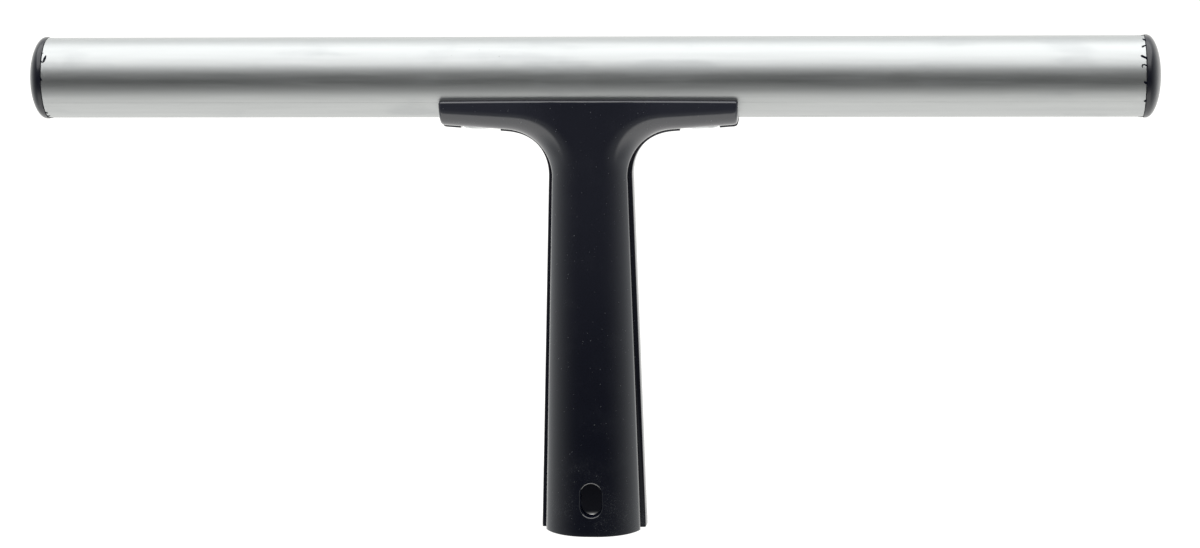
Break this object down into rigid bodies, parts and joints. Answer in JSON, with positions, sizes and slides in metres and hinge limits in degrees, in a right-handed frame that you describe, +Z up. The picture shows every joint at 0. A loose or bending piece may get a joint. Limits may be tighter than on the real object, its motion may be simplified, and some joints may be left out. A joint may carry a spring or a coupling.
{
  "type": "window washer t-bar",
  "caption": "Round aluminium tube with domed end caps held crosswise in the saddle of a hollow tapered T-handle; carries a washing sleeve and takes an extension pole.",
  "frame": {"origin": "centre of the pole socket's mouth, in the plane of the handle's open foot", "axes": "+Z up the handle to the tube, +X along the tube, -Y towards the front, where the lock hole is"},
  "size_m": [0.35, 0.032, 0.1555],
  "materials": {
    "satin_anodised_aluminium": "satin clear-anodised extrusion with fine die lines along its length",
    "black_cap_plastic": "smooth semi-gloss black moulding, trimmed by hand where it meets the tube",
    "black_handle_plastic": "blue-black semi-gloss moulding with fine scuffs and dust",
    "rivet_aluminium": "bright tumbled aluminium",
    "plain_steel": "bare drawn steel wire",
    "zinc_plated_steel": "bright zinc plate"
  },
  "bodies": {
    "root": {"end_cap_left": "black_cap_plastic", "end_cap_right": "black_cap_plastic", "handle_front_cover": "black_handle_plastic", "handle_rear_body": "black_handle_plastic", "rivet_left": "rivet_aluminium", "rivet_mandrel_left": "plain_steel", "rivet_mandrel_right": "plain_steel", "rivet_right": "rivet_aluminium", "shell_screw_left": "zinc_plated_steel", "shell_screw_right": "zinc_plated_steel", "tube": "satin_anodised_aluminium"}
  },
  "joints": []
}
